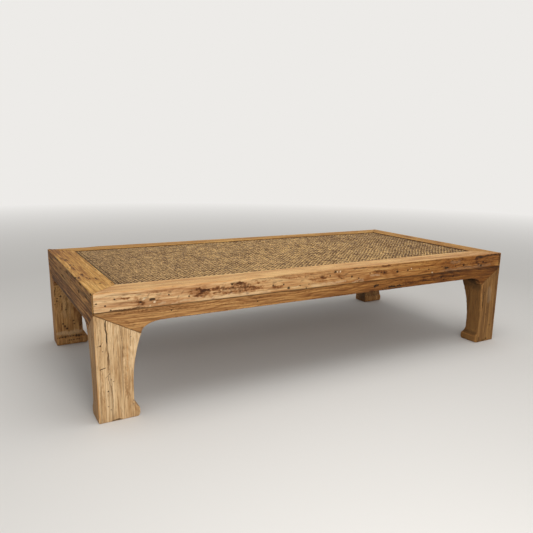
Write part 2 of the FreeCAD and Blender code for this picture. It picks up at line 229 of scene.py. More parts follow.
def old_elm(name, grain, seed, palette, pith=(0.0, 0.0, 0.0), base=0.0, rings=0.16, specular=0.18):
    """Hand-planed old elm under worn wax: soft growth rings, fibres, pores, burls, rubbed arrises and dirt.

    The eye gets light and brown streaks a few millimetres wide along the grain, broad clouds of tone,
    faint rings 6 mm apart round a pith that lies beside the piece, short dark pores and long thin veins,
    orange where an arris is rubbed bare, grey-brown fibres where the wood has aged grey and as painted shade
    on faces turned to the left, pale where fibres are torn and as painted highlights and sheen, near black in
    splits and as painted shadows.
    """
    material, tree = new_material(name)
    place = node(tree, "TexCoord", out="Object")
    along = node(tree, "Mapping", {"Vector": place, "Rotation": GRAIN_TURN[grain]})
    shifted = node(tree, "VectorMath", {0: along, 1: (seed * 3.7, seed * 1.3, seed * 2.1)})
    skin = {layer: node(tree, "Attribute", attribute_name=layer, out="Fac") for layer in SKIN_LAYERS}
    look = {}
    for pattern, (length, breadth, layers, roughness, distortion) in WOOD_PATTERNS.items():
        scale = (1000 / length, 1000 / breadth, 1000 / breadth)
        cells = node(tree, "Mapping", {"Vector": shifted, "Scale": scale})
        look[pattern] = node(tree, "TexNoise", {
            "Vector": cells, "Scale": 1.0, "Detail": layers, "Roughness": roughness, "Distortion": distortion,
        }, out="Color" if pattern == "wander" else "Fac")

    # Rings: distance from the pith, which wanders by 15 mm as the grain runs on, cut every 6 mm
    heart = Euler(GRAIN_TURN[grain]).to_matrix() @ Vector(pith)
    wander = node(tree, "VectorMath", {0: look["wander"], 1: (0.0, 0.08, 0.08)},
                  operation="MULTIPLY")
    apart = node(tree, "Mapping", {"Vector": along, "Location": (0.0, -heart.y - 0.04, -heart.z - 0.04),
                                   "Scale": (0.0, 1.0, 1.0)})
    apart = node(tree, "VectorMath", {0: apart, 1: wander})
    distance = node(tree, "VectorMath", {0: apart}, operation="LENGTH", out="Value")
    ring = node(tree, "Math", {0: distance, 1: 6 * MM}, operation="DIVIDE")
    ring = node(tree, "Math", {0: ring}, operation="FRACT")
    look["ring"] = node(tree, "ValToRGB", {"Fac": ring}, [
        (0.0, (0.6,)), (0.1, (1.0,)), (0.35, (0.45,)), (0.8, (0.0,)), (1.0, (0.6,)),
    ])

    # Sums of patterns: a start, plus each pattern's swing about a half times its weight
    for total, start, parts in (
        ("figure", base, (("streak", 1.15), ("fibre", 0.9), ("band", 0.65), ("cloud", 0.65), ("ring", rings))),
        ("blotch", -0.16, (("streak", 1.2), ("swirl", 2.6))),
        ("patch", 0.0, (("cloud", 0.8),)),
        ("chafe", 0.0, (("ragged", 1.2),)),
        ("weather_and_shade", 0.5, (("fibre", 1.6), ("streak", 2.3), ("band", 0.4))),
    ):
        value = start - sum(weight for _, weight in parts) / 2
        for part, weight in parts:
            value = node(tree, "Math", {0: look[part], 1: weight, 2: value},
                         operation="MULTIPLY_ADD")
        look[total] = value

    # Burls, the grey of age and painted shade, and rubbed places cover most where they are painted and their
    # pattern is strong
    for layer, pattern in (("burl", "blotch"), ("grey", "patch"), ("worn", "chafe")):
        strong = node(tree, "Math", {0: skin[layer], 1: look[pattern]})
        skin[layer] = node(tree, "Math", {0: strong, 1: skin[layer]}, operation="MULTIPLY",
                           use_clamp=True)
    for pattern, edge in (("pore", 0.33), ("vein", 0.35)):
        look[pattern] = node(tree, "ValToRGB", {"Fac": look[pattern]}, [
            (0.0, (1.0,)), (edge, (1.0,)), (edge + 0.08, (0.0,)),
        ])

    # One tone from light to dark picks the colour from the piece's own palette
    tone = node(tree, "Math", {0: skin["tone"], 1: look["figure"]})
    tone = node(tree, "Math", {0: skin["burl"], 1: 0.8, 2: tone}, operation="MULTIPLY_ADD",
                use_clamp=True)
    shades = [(spot, linear(shade)) for spot, shade in zip(PALETTE_PLACES, palette)]
    colour = node(tree, "ValToRGB", {"Fac": tone}, shades)
    colour = node(tree, "Mix", {"Factor": skin["honey"], 6: colour, 7: HONEY_WAX}, data_type="RGBA",
                  blend_type="MULTIPLY", out=2)
    shades = [(spot, linear(shade)) for spot, shade in WEATHERED_AND_SHADED]
    weathered_and_shaded = node(tree, "ValToRGB", {"Fac": look["weather_and_shade"]}, shades)
    for cover, strength, shade in (
        (skin["burl"], 0.35, linear(RED_BROWN)), (look["pore"], 0.45, linear(palette[3])),
        (skin["grey"], 1.0, weathered_and_shaded), (look["vein"], 0.4, linear(palette[3])),
        (skin["worn"], 0.85, linear(ARRIS_ORANGE)), (skin["pale"], 1.0, linear(PALE_FIBRE_AND_SHEEN)),
        (skin["dark"], 1.0, linear(CREVICE_AND_SHADOW)),
    ):
        share = node(tree, "Math", {0: cover, 1: strength}, operation="MULTIPLY")
        colour = node(tree, "Mix", {"Factor": share, 6: colour, 7: shade}, data_type="RGBA", out=2)

    rough = node(tree, "MapRange", {"Value": look["fibre"], "To Min": 0.55, "To Max": 0.82})
    rough = node(tree, "Math", {0: skin["grey"], 1: 0.15, 2: rough}, operation="MULTIPLY_ADD",
                 use_clamp=True)
    height = 0.0
    for part, weight in ((look["fibre"], 1.0), (look["streak"], 1.0), (look["ring"], -0.25),
                         (look["pore"], -0.5), (look["vein"], -0.5), (skin["burl"], -0.5)):
        height = node(tree, "Math", {0: part, 1: weight, 2: height}, operation="MULTIPLY_ADD")
    finish_material(tree, colour, rough, height, 0.5 * MM, specular)
    return material


def split_cane():
    """Split cane, twill woven: glossy skin, each strand its own shade, dirt and painted shade where it dives
    under.
    """
    material, tree = new_material("split_cane_twill")
    place = node(tree, "TexCoord", out="Object")
    shade = node(tree, "Attribute", attribute_name="shade", out="Fac")
    hollow = node(tree, "Attribute", attribute_name="hollow", out="Fac")
    fleck = node(tree, "TexNoise", {"Vector": place, "Scale": 120.0, "Detail": 2.0})
    mixed = node(tree, "Math", {0: fleck, 1: 1.2, 2: shade}, operation="MULTIPLY_ADD")
    mixed = node(tree, "Math", {0: mixed, 1: 0.65}, operation="SUBTRACT", use_clamp=True)
    skin = node(tree, "Mix", {"Factor": mixed, 6: linear(CANE_DARK), 7: linear(CANE_LIGHT)},
                data_type="RGBA", out=2)
    # Dirt and painted shade: darker where a strand dives under
    under = node(tree, "ValToRGB", {"Fac": hollow}, [
        (0.0, (0.0,)), (0.2, (0.15,)), (0.5, (0.8,)), (0.8, (1.0,)),
    ])
    dirt = node(tree, "Mix", {"Factor": under, 6: skin, 7: linear(CANE_DIRT_AND_SHADE)}, data_type="RGBA", out=2)
    finish_material(tree, dirt, 0.5, fleck, 0.2 * MM, 0.22)
    return material


def sawn_softwood(name, grain, seed):
    """Bare sawn boards under the table: dull brown, with wider rings and no wax."""
    return old_elm(name, grain, seed, SOFTWOOD_PALETTE, base=0.4, rings=0.3, specular=0.1)


def value_noise(points, cell, seed):
    """Smooth noise from 0 to 1: random numbers at the corners of cells of that size, blended by a cubic."""
    scaled = points / cell + seed * 7.31
    corner = np.floor(scaled)
    part = scaled - corner
    part = part * part * (3 - 2 * part)
    total = np.zeros(len(points))
    for k in range(8):
        step = np.array([(k >> axis) & 1 for axis in range(3)])
        weight = np.prod(np.where(step, part, 1 - part), axis=1)
        random = np.sin((corner + step) @ np.array([127.1, 311.7, 74.7]) + seed) * 43758.5453
        total += weight * (random - np.floor(random))
    return total


def layered_noise(points, cell, seed, layers=3):
    """Value noise added to itself at half the size and half the strength, a few times, from 0 to 1."""
    cell = np.asarray(cell, float)
    total = sum(value_noise(points, cell / 2 ** k, seed + k) / 2 ** k for k in range(layers))
    return total / (2 - 2.0 ** (1 - layers))


def smooth_step(values, low, high):
    part = np.clip((values - low) / (high - low), 0, 1)
    return part * part * (3 - 2 * part)


def even_skin(cad_node, size):
    """The node's closed surface divided into even quads, as a new mesh in place."""
    shell = bmesh.new()
    shell.from_mesh(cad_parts[cad_node].data)
    bmesh.ops.remove_doubles(shell, verts=shell.verts, dist=0.001 * MM)
    mesh = bpy.data.meshes.new(cad_node + "_merged")
    shell.to_mesh(mesh)
    shell.free()
    holder = add_object(cad_node + "_holder", mesh)
    remesh = holder.modifiers.new("even", "REMESH")
    remesh.mode = "VOXEL"
    remesh.voxel_size = size
    graph = bpy.context.evaluated_depsgraph_get()
    skin = bpy.data.meshes.new_from_object(holder.evaluated_get(graph))
    bpy.data.objects.remove(holder)
    return skin


def read(items, what, width, kind=float):
    """A property of all points or edges as an array with a row for each."""
    values = np.empty(len(items) * width, kind)
    items.foreach_get(what, values)
    return values.reshape(-1, width)


def paint(mesh, name, values):
    """Stores one number per point, which the material reads."""
    layer = mesh.attributes.new(name, "FLOAT", "POINT")
    layer.data.foreach_set("value", np.clip(values, 0, 1).astype(np.float32))


def spread(values, ends, amount, rounds):
    """In each round every value moves towards the mean of its neighbours by its own amount."""
    number = len(values)
    neighbours = np.maximum(np.bincount(ends.ravel(), minlength=number), 1)
    for _ in range(rounds):
        total = np.stack([
            np.bincount(ends[:, 0], column[ends[:, 1]], number)
            + np.bincount(ends[:, 1], column[ends[:, 0]], number)
            for column in values.T
        ], axis=1)
        values = values + amount[:, None] * (total / neighbours[:, None] - values)
    return values


def refine(mesh, near, rounds):
    """Halves the squares round the points that near() picks, as often as asked."""
    for _ in range(rounds):
        ends = read(mesh.edges, "vertices", 2, np.int32)
        chosen = np.flatnonzero(near(read(mesh.vertices, "co", 3))[ends].any(axis=1))
        if len(chosen):
            body = bmesh.new()
            body.from_mesh(mesh)
            body.edges.ensure_lookup_table()
            bmesh.ops.subdivide_edges(body, edges=[body.edges[k] for k in chosen], cuts=1, use_grid_fill=True)
            body.to_mesh(mesh)
            body.free()


def seam_distance(points):
    """How far each point is from the nearest joint line that shows between two pieces of the table."""
    from_end = HALF_LENGTH - np.abs(points[:, 0])
    from_side = HALF_DEPTH - np.abs(points[:, 1])
    height = points[:, 2]
    under_frame = np.abs(height - FRAME_BOTTOM)
    frame_mitre = np.abs(from_end * LONG_RAIL_WIDTH - from_side * SHORT_RAIL_WIDTH)
    frame_mitre /= math.hypot(LONG_RAIL_WIDTH, SHORT_RAIL_WIDTH)
    frame_mitre[(height < FRAME_BOTTOM) | (from_end > SHORT_RAIL_WIDTH * 1.1)] = 1.0
    leg_width = np.where(points[:, 0] < 0, LEFT_LEG_WIDTH, RIGHT_LEG_WIDTH)
    drop = FRAME_BOTTOM - MITRE_BLUNT - MITRE_END
    below = FRAME_BOTTOM - MITRE_BLUNT - height
    long_mitre = np.abs(from_end * drop - below * leg_width) / np.hypot(leg_width, drop)
    long_mitre[(from_side > APRON_THICKNESS) | (from_end > leg_width * 1.05)] = 1.0
    end_mitre = np.abs(from_side * drop - below * LEG_DEPTH) / math.hypot(LEG_DEPTH, drop)
    end_mitre[(from_end > APRON_THICKNESS) | (from_side > LEG_DEPTH * 1.05)] = 1.0
    return np.minimum.reduce([under_frame, frame_mitre, long_mitre, end_mitre])


def path_distance(points, path):
    """Distance from each point to a path of straight stretches, and how far along it the foot lies (0 to 1)."""
    path = np.asarray(path, float)
    best = np.full(len(points), 9.0)
    along = np.zeros(len(points))
    for k in range(len(path) - 1):
        step = path[k + 1] - path[k]
        share = np.clip((points - path[k]) @ step / (step @ step), 0, 1)
        far = np.linalg.norm(points - path[k] - share[:, None] * step, axis=1)
        nearer = far < best
        best = np.where(nearer, far, best)
        along = np.where(nearer, (k + share) / (len(path) - 1), along)
    return best, along


# The ways a face of the table can look: its two directions, its outward axis and that axis's sign
FACES = {"front": (0, 2, 1, -1), "back": (0, 2, 1, 1), "left": (1, 2, 0, -1), "right": (1, 2, 0, 1),
         "top": (0, 1, 2, 1)}


def worn_wood(cad_node, grain, seed, palette, pith, sides, top, honey=(0.0, 0.0), inside=0.25, rings=0.16,
              left_shade_and_weathering=0.9, top_honey=0.65, flaws=()):
    """A piece of worn wood over its solid.

    The solid's skin is divided into even squares. Each point moves towards the mean of its neighbours a
    few times, by a noise that leaves arrises worn in some places and crisp in others, and least next to a
    joint line. A slow and a fine noise then pull it inward by about a millimetre at most. Each flaw is a
    path or a spot, seen square on to its face: the skin that looks that way is cut inward by the flaw's
    depth times a bell of the distance from it, and painted. Some flaws are painted shadows and highlights.
    The tone of the sides and of the top, and the wax on the sides, are given at even steps along the
    piece's longest way. top_honey is the wax on the top, inside how much darker inward and downward faces
    are painted: painted shade over their darker bare wood. The weight after rings is how grey-brown the
    faces turned to the left are painted: painted shade, with some greying by age.
    """
    member = next(word for word in MEMBERS if word in cad_node)
    slot_name, grain_size = MEMBERS[member]
    spot_name = cad_node.split(member + "_")[1]
    size = grain_size
    mesh = even_skin(cad_node, size)
    low, high = (np.array(corner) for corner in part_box(cad_node))
    rng = np.random.default_rng(seed)

    def near_flaw(points):
        near = np.zeros(len(points), bool)
        for face, kind, path, width, depth in flaws:
            if depth and kind != "sunk":
                first, second, out, sign = FACES[face]
                plane = (high if sign > 0 else low)[out]
                close = np.abs(points[:, out] - plane) < FACE_REACH
                far = path_distance(points[close][:, [first, second]], path_of(path))[0]
                near[np.flatnonzero(close)[far < width + FLAW_REACH]] = True
        return near

    refine(mesh, near_flaw, 2)
    points, normals = read(mesh.vertices, "co", 3), read(mesh.vertices, "normal", 3)
    ends = read(mesh.edges, "vertices", 2, np.int32)
    number = len(points)
    from_seam = seam_distance(points)

    ones = np.ones(number)
    drift = points - spread(points, ends, ones, 2)
    convex = np.einsum("ij,ij->i", drift, normals) / size
    arris = spread(smooth_step(convex, 0.06, 0.3)[:, None], ends, ones * 0.8, 3)[:, 0]
    patchy = layered_noise(points, PATCH_CELLS, seed)
    fine = layered_noise(points, FINE_CELL, seed + 5)
    amount = smooth_step(patchy * 0.6 + fine * 0.4, 0.25, 0.75) * (0.25 + 0.75 * smooth_step(arris, 0.0, 0.5))
    amount *= 0.08 + 0.92 * smooth_step(from_seam, 1.0 * MM, 7 * MM)
    points = spread(points, ends, np.clip(amount, 0, 1), ARRIS_ROUNDS)

    slow = layered_noise(points, SLOW_CELLS, seed + 11)
    gentle = 0.2 + 0.8 * smooth_step(from_seam, 1.0 * MM, 10 * MM)
    points -= normals * (gentle * (SLOW_CUT * slow + FINE_CUT * fine) * MM)[:, None]

    skin = {layer: np.zeros(number) for layer in ("dark", "burl", "pale", "worn")}
    jitter = layered_noise(points, 5 * MM, seed + 21) - 0.5
    astray = np.stack([layered_noise(points, 14 * MM, seed + 31 + k) - 0.5 for k in (0, 1)], axis=1) * 4 * MM
    for face, kind, path, width, depth in flaws:
        stray, ragged, inner, outer, layer, strength = FLAW_KINDS[kind]
        first, second, out, sign = FACES[face]
        square = smooth_step(normals[:, out] * sign, 0.45, 0.8)
        far, along = path_distance(points[:, [first, second]] + astray * stray, path_of(path))
        taper = 0.45 + 0.55 * np.sqrt(np.clip(np.sin(np.pi * along), 0, 1)) if len(path) > 2 else ones
        spot = far / np.maximum(width * taper, 0.1 * MM) + jitter * ragged
        bell = (1 - smooth_step(spot, 0.25, 1.15)) * square
        points -= normals * (depth * bell * (1.0 if kind in ("gap", "sunk") else gentle))[:, None]
        skin[layer] = np.maximum(skin[layer], strength * (1 - smooth_step(spot, inner, outer)) * square)

    # A few more worm holes that no one placed, anywhere on the piece
    for centre in rng.choice(number, WORM_HOLES):
        far = np.linalg.norm(points - points[centre], axis=1)
        hole = 1 - smooth_step(far, 0.5 * MM, rng.uniform(1.2, 2.4) * MM)
        skin["dark"] = np.maximum(skin["dark"], hole * 0.9)

    points = np.clip(points, low, high)
    mesh.vertices.foreach_set("co", points.astype(np.float32).ravel())
    mesh.update()
    crease = spread(smooth_step(-convex, 0.06, 0.35)[:, None], ends, ones * 0.7, 2)[:, 0]
    under_rail = 1 - smooth_step(np.abs(points[:, 2] - FRAME_BOTTOM), 0.3 * MM, 2.6 * MM)
    other_seam = 1 - smooth_step(from_seam, 0.2 * MM, 2.0 * MM)
    dirt = np.maximum(0.75 * under_rail, 0.4 * other_seam) * (0.55 + 0.45 * patchy)
    skin["dark"] = np.maximum.reduce([skin["dark"] * 0.85, 0.45 * crease, dirt])
    rubbed = arris * smooth_step(fine + patchy, 0.5, 1.1) * (1 - other_seam)
    skin["worn"] = np.maximum(skin["worn"], rubbed)
    # Faces turned to the left go grey-brown: painted shade, with some greying by age
    skin["grey"] = smooth_step(-normals[:, 0], 0.5, 0.9) * left_shade_and_weathering

    longest = int(np.argmax(high - low))
    share = (points[:, longest] - low[longest]) / (high - low)[longest]
    side_tone, top_tone, wax = (np.interp(share, np.linspace(0, 1, len(v)), v) for v in (sides, top, honey))
    upward = smooth_step(normals[:, 2], 0.6, 0.9)
    # Downward faces, and the inner faces of pieces off the middle, get a darker tone: painted shade over their
    # darker bare wood
    hidden = smooth_step(-normals[:, 2], 0.6, 0.9)
    for axis in (0, 1):
        middle = (low + high)[axis] / 2
        if abs(middle) > OFF_CENTRE:
            hidden = np.maximum(hidden, smooth_step(-normals[:, axis] * math.copysign(1, middle), 0.5, 0.9))
    skin["tone"] = side_tone * (1 - upward) + top_tone * upward + inside * hidden
    skin["honey"] = wax * (1 - upward) + top_honey * upward
    for layer in SKIN_LAYERS:
        paint(mesh, layer, skin[layer])
    name = f"waxed_old_elm_{spot_name}_{member}"
    mesh.materials.append(old_elm(name, grain, seed, palette, pith, rings=rings))
    mesh.polygons.foreach_set("use_smooth", np.ones(len(mesh.polygons), bool))
    piece = add_object(cad_node + "_worn", mesh)
    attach(piece, "root")
    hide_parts(cad_node)


def path_of(marks):
    """A flaw's marks in metres: one mark is a spot, which is given a second one close by."""
    marks = np.asarray(marks, float) * MM
    return marks if len(marks) > 1 else np.vstack([marks, marks + 0.01 * MM])


def flaws_on(face, *rows):
    """Flaws on one face, from rows of a kind, a width or a (width, depth) in mm, and a path's marks."""
    flaws = []
    for kind, size, *path in rows:
        width, depth = size if isinstance(size, tuple) else (size, 0.0)
        flaws.append((face, kind, path, width * MM, depth * MM))
    return flaws


def spots(kind, size, marks, run=(0, 0)):
    """Rows of one kind and size, one for each mark, round or drawn out to both sides by the run."""
    run = np.array(run)
    return [(kind, size, *((mark - run, mark + run) if run.any() else (mark,)))
            for mark in np.array(marks, float)]


# Kind, width and depth of the flaws that chance strews
CHANCE_KINDS = (("hole", 2.2, 1.5), ("hole", 1.8, 1.2), ("check", 1.7, 0.0), ("check", 1.3, 0.0),
                ("burl", 6.0, 0.0), ("haze", 15.0, 0.0))


def chance_flaws(face, across, upward, number, seed, grain=0):
    """Worm holes, checks along the grain and small burls, strewn by chance over a rectangle of a face."""
    rng = np.random.default_rng(seed)
    rows = []
    for _ in range(number):
        kind, width, depth = CHANCE_KINDS[rng.integers(len(CHANCE_KINDS))]
        start = np.array([rng.uniform(*across), rng.uniform(*upward)])
        run = rng.uniform(-1.5, 1.5, (2, 2))
        run[:, grain] += np.array([0.5, 1.0]) * rng.uniform(15, 70)
        path = [start] if kind == "hole" else [start, start + run[0], start + run[1]]
        rows.append((kind, (width * rng.uniform(0.7, 1.3), depth), *path))
    return flaws_on(face, *rows)


# Dashes strewn by chance over the rail's face and over its longest burl, and the same tints again,
# drawn together in a low band of its left half
CHECKS, TINTS = np.split(np.random.default_rng(41).uniform((-805, 325), (805, 371), (66, 2)), [46])
LOW_BAND = TINTS * (0.5, 0.2) + (-300, 259)
BURLS, STAINS = np.split(np.random.default_rng(42).uniform((-540, 335), (-310, 362), (34, 2)), [20])

# The flaws that the photograph shows, face by face, as places on the face in mm
FRONT_RAIL_FLAWS = flaws_on(
    "front",
    *spots("check", 2.4, CHECKS, (6, 1)),
    *spots("tint", 6, TINTS, (12, 2)),
    *spots("sap_and_highlight", 3, LOW_BAND, (9, 1)),
    *spots("burl", 4, BURLS, (5, 1)),
    *spots("stain_and_shade", 3, STAINS, (3, 1)),
    ("haze", 13, (-545, 352), (-522, 342), (-490, 338)),
    ("haze", 15, (-470, 354), (-430, 345), (-330, 340)),
    ("check", 2.6, (-340, 373), (0, 374), (300, 373), (650, 374)),
    ("tint", 6, (-260, 370), (0, 369), (300, 370), (600, 370)),
    ("haze", 5, (-330, 366), (-230, 368), (-140, 364)),
    ("tint", 5, (-815, 366), (-700, 364), (-560, 368)),
    *spots("haze", 6, [(-748, 357), (-725, 356)], (8, 0)),
    *spots("check", 2.4, [(-690, 350), (-668, 357), (-640, 343), (-600, 362), (-580, 344), (-566, 356)],
        (3, 4)),
    *spots("stain_and_shade", 4, [(-518, 360), (-531, 338), (-496, 336)]),
    ("stain_and_shade", 4, (-505, 353), (-482, 350)),
    ("stain_and_shade", 3, (-440, 353), (-400, 352), (-355, 349)),
    *spots("hole", (3.4, 1.5), [(-761, 356), (-607, 353), (-547, 341), (-771, 326), (-786, 340), (-809, 348),
        (-265, 347), (-226, 345), (-164, 335), (-129, 337), (-140, 324), (-45, 357), (4, 343), (77, 337),
        (127, 350), (149, 358), (178, 348), (192, 348), (362, 347), (536, 364), (553, 341), (592, 366),
        (500, 362), (480, 345), (670, 344)]),
    *spots("hole", (4.6, 2.5), [(-408, 364), (47, 346), (306, 346), (413, 340), (-689, 339)]),
    *spots("hole", (6.5, 2.5), [(600, 342), (703, 333), (713, 347)]),
    ("hole", (4.6, 1.5), (500, 339), (514, 339)),
    *spots("hole", (6.8, 3.0), [(-207, 331), (-24, 368), (255, 346)]),
    ("hole", (5.0, 2.0), (-661, 345), (-651, 345)),
    ("tint", 9, (-744, 357), (-718, 357)),
    ("burl", 4, (-738, 357), (-722, 357)),
    *spots("tint", 9, [(-762, 358), (-650, 345), (-659, 356)]),
    ("haze", 13, (-700, 352), (-686, 338)),
    *spots("tint", 26, [(-640, 352), (-700, 345)]),
    *spots("torn", (5, 0.6), [(-680, 348), (-650, 337), (-662, 329)]),
    *spots("torn", (4, 0.6), [(430, 326), (-3, 369), (-15, 367), (321, 351)]),
    ("tint", 24, (-540, 343), (-512, 352), (-480, 347)),
    ("haze", 16, (-535, 347), (-505, 346), (-478, 340)),
    ("burl", 7, (-518, 362), (-500, 354), (-478, 350)),
    ("burl", 5, (-534, 346), (-516, 335)),
    ("tint", 24, (-470, 345), (-390, 352), (-300, 345)),
    ("haze", 15, (-470, 342), (-440, 348), (-380, 352), (-300, 343)),
    ("burl", 6, (-452, 350), (-420, 354), (-360, 350), (-305, 346)),
    ("burl", 8, (-403, 361), (-385, 364), (-366, 359)),
    ("stain_and_shade", 5, (-400, 362), (-385, 364), (-370, 360)),
    ("haze", 8, (-478, 336), (-472, 326)),
    ("burl", 5, (-358, 340), (-356, 329)),
    ("tint", 9, (-308, 338), (-292, 330)),
    ("haze", 8, (-262, 342), (-236, 337)),
    ("sap_and_highlight", 6, (-505, 326), (-400, 326), (-290, 328)),
    ("sap_and_highlight", 6, (-120, 330), (-48, 331), (20, 333)),
    ("tint", 17, (-130, 355), (-95, 352), (-58, 352)),
    ("haze", 10, (-124, 353), (-95, 352), (-62, 350)),
    ("burl", 7, (-90, 352), (-64, 349)),
    ("check", 2.2, (-128, 372), (-112, 361), (-104, 352)),
    ("haze", 9, (-8, 353), (8, 342)),
    ("haze", 13, (140, 352), (172, 356), (205, 348)),
    ("check", 2.4, (146, 360), (160, 352), (178, 349)),
    ("check", 2.0, (165, 364), (186, 353), (205, 347)),
    ("sap_and_highlight", 4, (128, 343), (150, 343), (172, 342)),
    ("crack_and_shade", 3.0, (52, 372), (80, 373), (108, 372)),
    ("tint", 8, (-30, 360), (60, 366), (140, 368)),
    ("burl", 6, (185, 373), (221, 372)),
    ("check", 2.4, (300, 372), (360, 373), (420, 372)),
    ("crack_and_shade", 5.6, (668, 370), (688, 368), (712, 367)),
    ("crack_and_shade", 4.2, (712, 367), (730, 371), (770, 373), (814, 371)),
    ("shade_and_grime", 7, (809, 368), (810, 345), (809, 326)),
    ("tint", 16, (360, 352), (600, 350), (800, 350)),
    ("haze", 12, (668, 364), (676, 345), (690, 338)),
    ("stain_and_shade", 5, (492, 340), (518, 340)),
    ("faded", 6, (470, 330), (640, 330), (760, 332)),
    ("faded", 6, (530, 357), (575, 357)),
    ("rub", 4, (-818, 374), (-819, 345), (-818, 322)),
    ("rub", 3, (-818, 375), (-720, 375), (-600, 376), (-500, 375)),
    ("gap", (2.8, 5), (-777, 322), (-750, 325), (-722, 322), (-695, 325), (-666, 322)),
)
# Dirt and painted shade on the rails' inner walls, in the recess just above the mat
RECESS_SHADE_AND_GRIME = {face: flaws_on(face, ("shade_and_grime", 3.4, (-half, 373.3), (half, 373.3)))
         for face, half in (("front", 740), ("back", 740), ("left", 340), ("right", 340))}
WORN_BACK = flaws_on(
    "top",
    ("sunk", (30, 4.5), (-824, 411), (-740, 411), (-640, 413)),
    ("sunk", (24, 2.0), (-700, 414), (0, 414), (824, 414)),
)
FRONT_APRON_FLAWS = flaws_on(
    "front",
    ("crack_and_shade", (6.0, 2.0), (152, 301), (166, 303)),
    ("crack_and_shade", (5.4, 1.8), (218, 292), (232, 293), (248, 292)),
    ("crack_and_shade", (4.6, 1.8), (258, 292), (276, 292)),
    ("stain_and_shade", 6, (195, 289), (240, 290), (290, 292)),
    *spots("hole", (3.4, 2.0), [(188, 286), (206, 289), (-320, 300), (-600, 306)]),
    *spots("hole", (4.6, 2.0), [(480, 302), (546, 302), (496, 294)]),
    ("tint", 9, (-765, 301), (-725, 287), (-692, 276)),
    *spots("stain_and_shade", 4, [(-687, 264), (-712, 276)]),
    ("haze", 4, (-800, 316), (-700, 315), (-560, 315)),
    ("tint", 5, (-560, 314), (0, 312), (600, 313)),
    ("haze", 3, (-640, 283), (0, 283), (620, 283)),
    ("tint", 9, (-640, 308), (-520, 306), (-380, 309)),
    ("tint", 5, (-420, 296), (-300, 299), (-180, 297)),
    ("haze", 8, (280, 300), (350, 298), (400, 302)),
    ("tint", 12, (400, 302), (520, 300), (640, 304)),
)
LEFT_RAIL_FLAWS = flaws_on(
    "top",
    *spots("haze", 10, [(-806, 155), (-798, 130), (-804, 15), (-800, -40), (-794, -145), (-814, -200),
        (-788, -205), (-768, -222)], (0, 18)),
    *spots("tint", 20, [(-812, 82), (-812, -66), (-798, -171), (-812, -232), (-797, -220), (-781, -42),
        (-760, -284)], (0, 24)),
    ("tint", 10, (-796, -293), (-765, -288), (-738, -287)),
    *spots("burl", 5, [(-806, 180), (-800, 122), (-799, 32), (-802, -22), (-797, -140), (-790, -196),
        (-768, -216), (-812, -186)], (1, 11)),
    *spots("hole", (2.8, 1.0), [(-741, -82), (-770, -284), (-738, -286), (-817, -171), (-790, 26), (-767, -216),
        (-794, 140), (-805, 158), (-814, -17), (-812, -190), (-793, -141), (-783, -205)], (0, 5)),
) + flaws_on(
    "left",
    *spots("hole", (5.0, 2.0), [(-216, 342), (-240, 370), (-21, 364), (72, 333), (-395, 373)], (9, 0)),
    *spots("hole", (3.6, 1.5), [(160, 374), (50, 373), (-116, 373), (-171, 374), (110, 352), (-90, 349),
        (-330, 350)], (6, 0)),
    *spots("stain_and_shade", 6, [(-305, 366), (-330, 370)]),
    ("crack_and_shade", (3.6, 1.2), (100, 333), (72, 334), (20, 331)),
    ("check", (4, 1.0), (-60, 361), (-21, 364), (20, 362)),
    ("check", (4, 1.0), (-225, 369), (-250, 370), (-275, 368)),
    ("check", 4, (-120, 352), (-190, 350), (-300, 352), (-400, 350)),
    ("rub", 4.5, (290, 321), (200, 322), (110, 327)),
    ("rub", 4.5, (10, 322), (-90, 327), (-190, 331)),
    ("rub", 6, (-240, 336), (-262, 334), (-285, 330)),
    ("rub", 5, (-320, 343), (-352, 340)),
)
FRONT_LEFT_LEG_FLAWS = flaws_on(
    "front",
    ("crack_and_shade", (2.5, 4.0), (-787, 312), (-789, 274), (-787, 255), (-786, 232)),
    ("check", (2.9, 2.0), (-786, 238), (-788, 218), (-785, 196), (-786, 175), (-786, 147)),
    ("check", (1.7, 1.2), (-786, 150), (-788, 132), (-784, 118), (-780, 97), (-778, 83), (-777, 63),
     (-778, 38)),
    ("sap_and_highlight", 3, (-781, 236), (-780, 200), (-781, 160)),
    ("check", (2.3, 1.2), (-748, 281), (-747, 251), (-745, 233), (-744, 190)),
    ("check", (1.3, 0.8), (-721, 264), (-722, 240), (-723, 215)),
    ("tint", 9, (-742, 225), (-741, 150), (-738, 60)),
    ("check", (1.6, 1.2), (-812, 227), (-805, 229), (-797, 238)),
    ("check", (1.4, 1.0), (-795, 134), (-782, 144)),
    ("crack_and_shade", (1.6, 1.5), (-808, 160), (-793, 163)),
    *spots("hole", (3.0, 2.5), [(-804, 228), (-789, 93)]),
    *spots("hole", (1.9, 2.0), [(-799, 212), (-780, 126), (-774, 120), (-720, 52), (-720, 41), (-791, 47),
        (-784, 36)]),
    ("gap", (2.2, 2), (-782, 2), (-768, 3), (-755, 2)),
    ("tint", 6, (-808, 300), (-806, 200), (-803, 60)),
    *spots("tint", 12, [(-736, 99), (-737, 70), (-791, 77), (-732, 188)]),
    ("rub", 3, (-818, 305), (-819, 160), (-817, 12)),
    ("rub", 3, (-727, 250), (-733, 180), (-735, 100)),
) + flaws_on(
    "left",
    *spots("hole", (2.4, 2.0), [(-250, 300), (-385, 250), (-372, 180), (-395, 120), (-380, 60)]),
    ("check", (2.2, 2.0), (-370, 300), (-372, 250), (-369, 190), (-374, 140)),
)
LEFT_APRON_FLAWS = flaws_on(
    "left",
    # Painted shadow: a dark line along the lower edge stands in for the apron's shadow
    ("shade_and_grime", 6, (330, 282), (0, 282), (-262, 282)),
    ("haze", 12, (240, 317), (190, 314), (90, 318)),
    ("tint", 9, (0, 312), (-100, 310), (-220, 318)),
    ("stain_and_shade", 6, (340, 294), (300, 292), (270, 294)),
)
